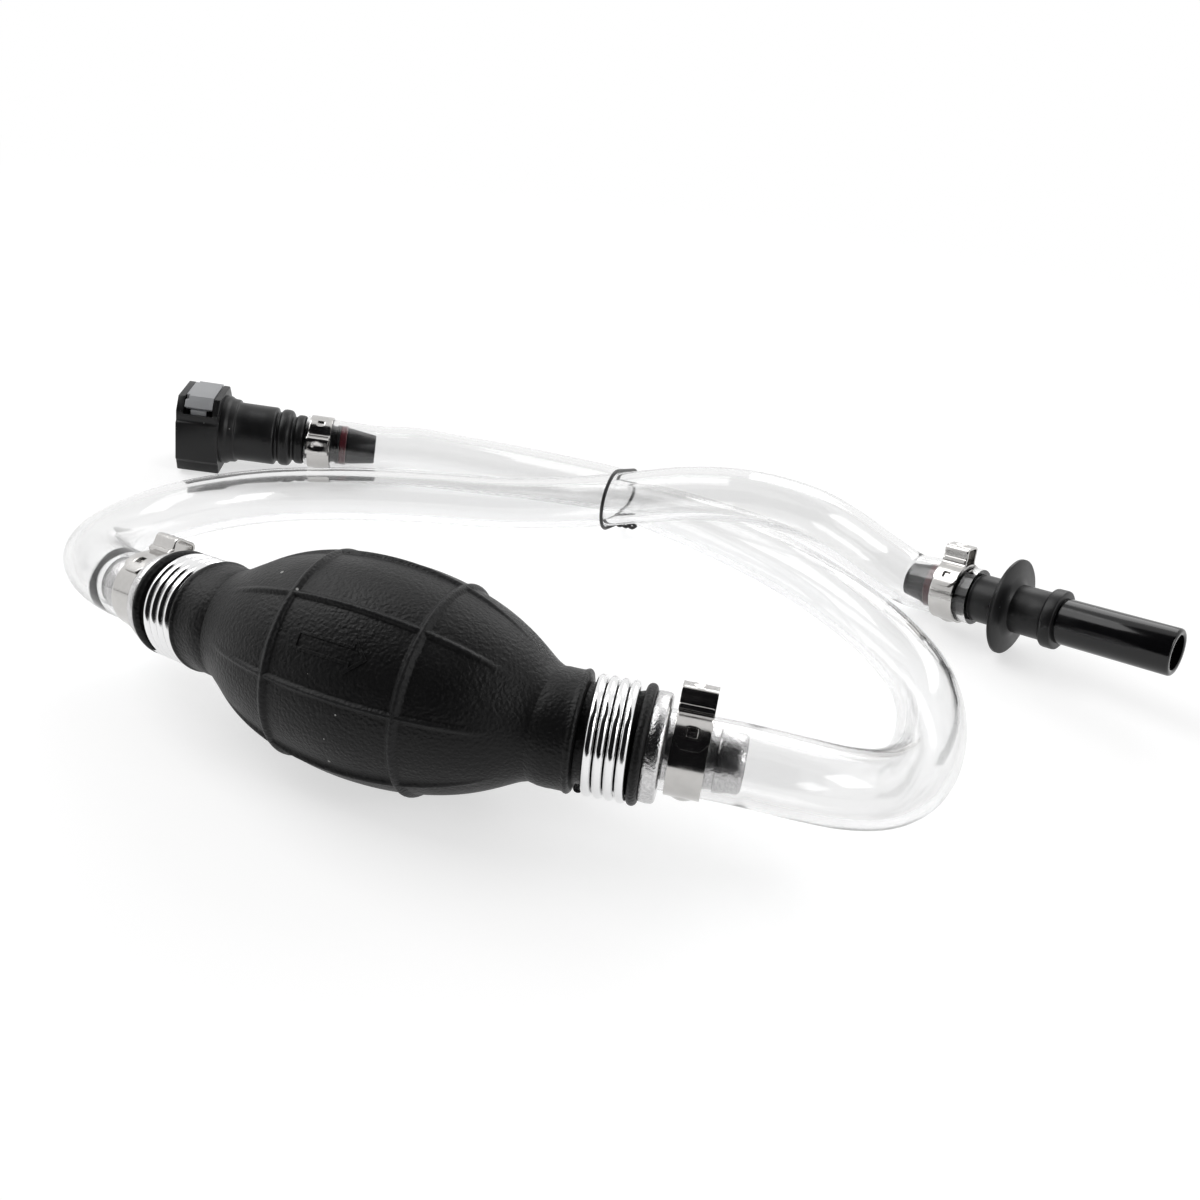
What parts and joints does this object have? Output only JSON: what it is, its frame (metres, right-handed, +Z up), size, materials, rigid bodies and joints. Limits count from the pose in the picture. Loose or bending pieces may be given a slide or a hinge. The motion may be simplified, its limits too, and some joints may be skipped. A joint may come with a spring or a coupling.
{
  "type": "siphon bulb pump",
  "caption": "Hand-squeezed rubber bulb with check valves, clear hoses on barbed spigots, a push-to-connect coupling and a male tube end, for moving fuel or other liquids.",
  "frame": {"origin": "On the surface the pump lies on, under the middle of the pump (the bulb and its metal ends, without the hoses)", "axes": "+X along the bulb from inlet to outlet, +Y towards the hoses, +Z up"},
  "size_m": [0.3098, 0.1815, 0.0462],
  "materials": {
    "bulb_rubber": "matte, fine leather grain",
    "cast_metal": "rough cast",
    "seat_rubber": "satin",
    "valve_plastic": "satin",
    "spring_steel": "satin",
    "plated_wire": "bright plated",
    "clamp_steel": "polished stainless",
    "clear_vinyl": "clear, soft",
    "tie_plastic": "satin",
    "black_nylon": "satin",
    "grey_plastic": "satin",
    "red_seal": "glossy",
    "gloss_tube": "gloss"
  },
  "bodies": {
    "pump": {"bulb": "bulb_rubber", "inlet_valve_body": "cast_metal", "inlet_valve_seat": "seat_rubber", "inlet_spring": "spring_steel", "inlet_valve_cage": "valve_plastic", "outlet_valve_body": "cast_metal", "outlet_valve_seat": "seat_rubber", "outlet_spring": "spring_steel", "outlet_valve_cage": "valve_plastic", "inlet_neck_clamp": "plated_wire", "outlet_neck_clamp": "plated_wire", "inlet_hose_clamp": "clamp_steel", "outlet_hose_clamp": "clamp_steel", "inlet_hose": "clear_vinyl", "outlet_hose": "clear_vinyl", "hose_tie": "tie_plastic", "connector_body": "black_nylon", "connector_seal_outer": "red_seal", "connector_spacer": "black_nylon", "connector_seal_inner": "seat_rubber", "connector_stem_ring": "red_seal", "connector_clamp": "clamp_steel", "male_stem": "black_nylon", "male_stem_ring": "red_seal", "male_clamp": "clamp_steel", "male_tube": "gloss_tube"},
    "front_wall": {"front_panel": "bulb_rubber"},
    "back_wall": {"back_panel": "bulb_rubber"},
    "inlet_poppet": {"inlet_poppet": "valve_plastic"},
    "outlet_poppet": {"outlet_poppet": "valve_plastic"},
    "release_button": {"connector_button": "grey_plastic"}
  },
  "joints": [
    {"name": "squeeze_front", "type": "slide", "parent": "pump", "child": "front_wall", "axis": [0, 1, 0], "range_m": [0, 0.011], "stiffness_N_per_m": 400},
    {"name": "squeeze_back", "type": "slide", "parent": "pump", "child": "back_wall", "axis": [0, -1, 0], "range_m": [0, 0.011], "stiffness_N_per_m": 400},
    {"name": "inlet_valve", "type": "slide", "parent": "pump", "child": "inlet_poppet", "axis": [0.9671, -0.2233, 0.1219], "range_m": [0, 0.0022], "stiffness_N_per_m": 60, "springref_m": -0.002, "deforming": ["inlet_spring"]},
    {"name": "outlet_valve", "type": "slide", "parent": "pump", "child": "outlet_poppet", "axis": [0.9848, 0.1736, 0], "range_m": [0, 0.0022], "stiffness_N_per_m": 60, "springref_m": -0.002, "deforming": ["outlet_spring"]},
    {"name": "release", "type": "slide", "parent": "pump", "child": "release_button", "axis": [-0.0627, -0.0306, -0.9976], "range_m": [0, 0.002], "stiffness_N_per_m": 400, "springref_m": -0.001}
  ],
  "couplings": [
    {"joint": "squeeze_back", "follows": "squeeze_front", "ratio": 1}
  ]
}
